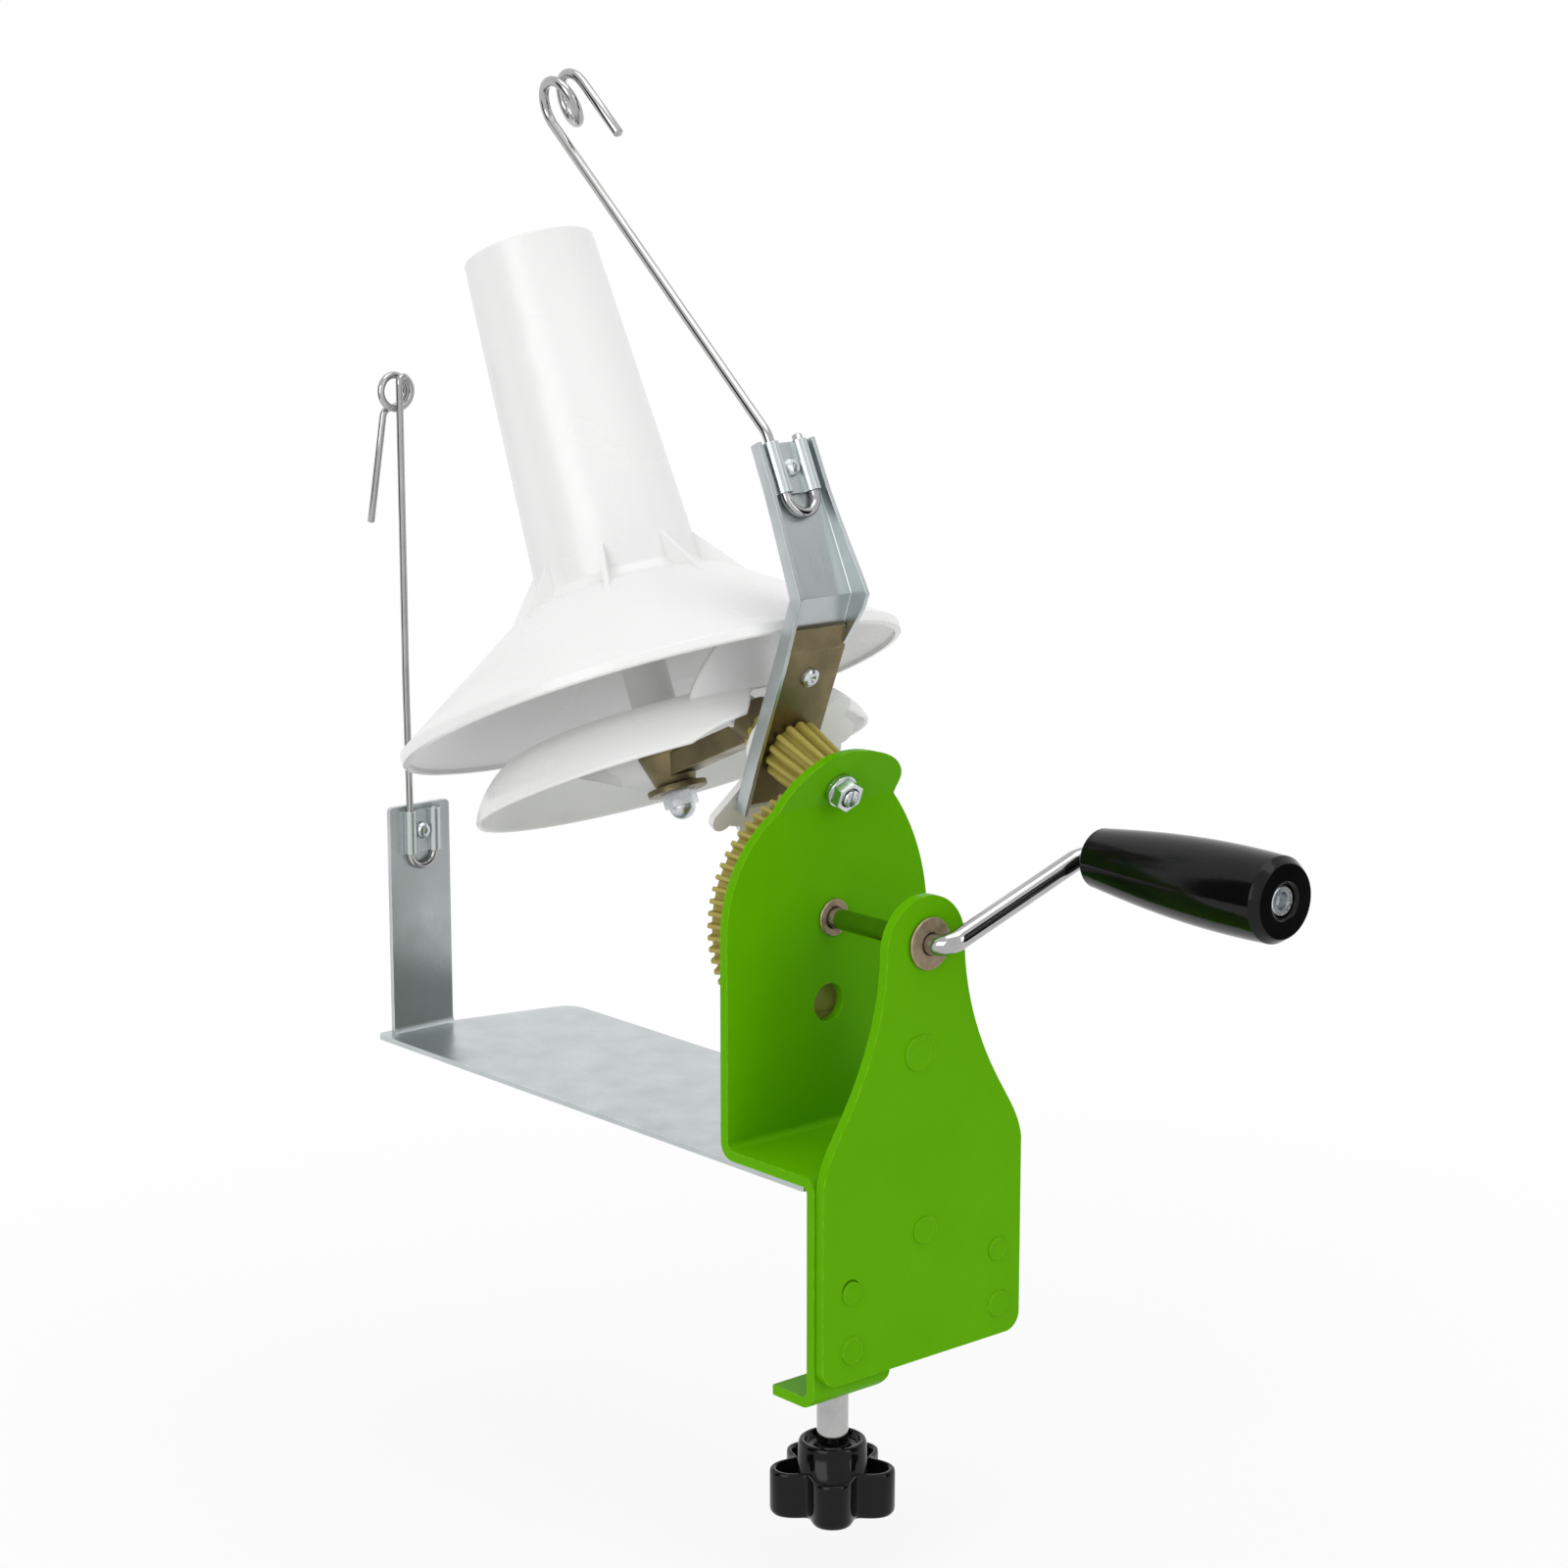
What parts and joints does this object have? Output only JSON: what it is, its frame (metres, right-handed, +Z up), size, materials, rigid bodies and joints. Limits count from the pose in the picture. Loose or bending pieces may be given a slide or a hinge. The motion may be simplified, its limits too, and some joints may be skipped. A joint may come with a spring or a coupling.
{
  "type": "yarn ball winder",
  "caption": "Hand-cranked yarn ball winder on a table clamp, with a bevel-geared wire flyer that turns around a tilted white winding cone.",
  "frame": {"origin": "on the table face under the base plate, in line with the crank shaft and at the rear plate's front face", "axes": "+Z up, +X towards the crank side, +Y towards the crank's grip at rest"},
  "size_m": [0.3898, 0.204, 0.5195],
  "materials": {
    "green_paint": "gloss lime green powder coat",
    "zinc_plate": "bright blue-white zinc plating",
    "zinc_fastener": "bright zinc",
    "polished_steel": "polished round steel",
    "dark_steel": "dark browned steel",
    "bronze": "sintered bronze",
    "tan_nylon": "tan moulded nylon",
    "white_plastic": "white moulded plastic",
    "black_plastic": "glossy black plastic"
  },
  "bodies": {
    "frame": {"rear_bracket": "green_paint", "front_plate": "green_paint", "rear_bushing": "bronze", "front_bushing": "bronze", "ear_washer": "zinc_fastener", "ear_nut": "zinc_fastener", "flyer_axle": "polished_steel", "cone_carrier": "dark_steel", "axle_end_nut": "zinc_fastener", "cone_axle": "polished_steel", "cone_washer": "dark_steel", "cone_acorn_nut": "zinc_fastener", "cone_top_washer": "zinc_fastener", "cone_top_nut": "zinc_fastener", "guard_dish": "white_plastic", "base_plate": "zinc_plate", "base_screw": "zinc_fastener", "guide_wire": "polished_steel", "guide_clip": "zinc_plate", "guide_clip_screw": "zinc_fastener"},
    "crank": {"crank_rod": "polished_steel", "drive_gear": "tan_nylon", "gear_pin": "polished_steel", "grip_screw": "zinc_fastener"},
    "grip": {"crank_grip": "black_plastic"},
    "flyer": {"flyer_pinion": "tan_nylon", "flyer_bracket": "zinc_plate", "flyer_arm": "zinc_plate", "flyer_rivet": "zinc_fastener", "flyer_disc": "white_plastic", "flyer_wire": "polished_steel", "flyer_clip": "zinc_plate", "flyer_clip_screw": "zinc_fastener"},
    "cone_spool": {"cone": "white_plastic"},
    "clamp_foot": {"press_foot": "polished_steel"},
    "clamp_knob": {"clamp_screw": "polished_steel", "star_knob": "black_plastic"}
  },
  "joints": [
    {"name": "crank_turn", "type": "hinge", "parent": "frame", "child": "crank", "pos_m": [0, 0, 0.087], "axis": [1, 0, 0], "continuous": true},
    {"name": "grip_spin", "type": "hinge", "parent": "crank", "child": "grip", "pos_m": [0.1, 0.07091, 0.11142], "axis": [1, 0, 0], "continuous": true},
    {"name": "flyer_turn", "type": "hinge", "parent": "frame", "child": "flyer", "pos_m": [0.12698, 0, 0.087], "axis": [-0.9272, 0, 0.3746], "continuous": true},
    {"name": "cone_spin", "type": "hinge", "parent": "frame", "child": "cone_spool", "pos_m": [-0.108, 0, 0.158], "axis": [-0.4067, 0, 0.9135], "continuous": true},
    {"name": "clamp_travel", "type": "slide", "parent": "frame", "child": "clamp_foot", "axis": [0, 0, 1], "range_m": [-0.024, 0.019]},
    {"name": "clamp_turn", "type": "hinge", "parent": "clamp_foot", "child": "clamp_knob", "pos_m": [0.035, -0.031, -0.06], "axis": [0, 0, 1], "range_deg": [-4350, 3450]}
  ],
  "couplings": [
    {"joint": "flyer_turn", "follows": "crank_turn", "ratio": 4.5},
    {"joint": "clamp_turn", "follows": "clamp_travel", "rad_per_m": 3141.6}
  ]
}
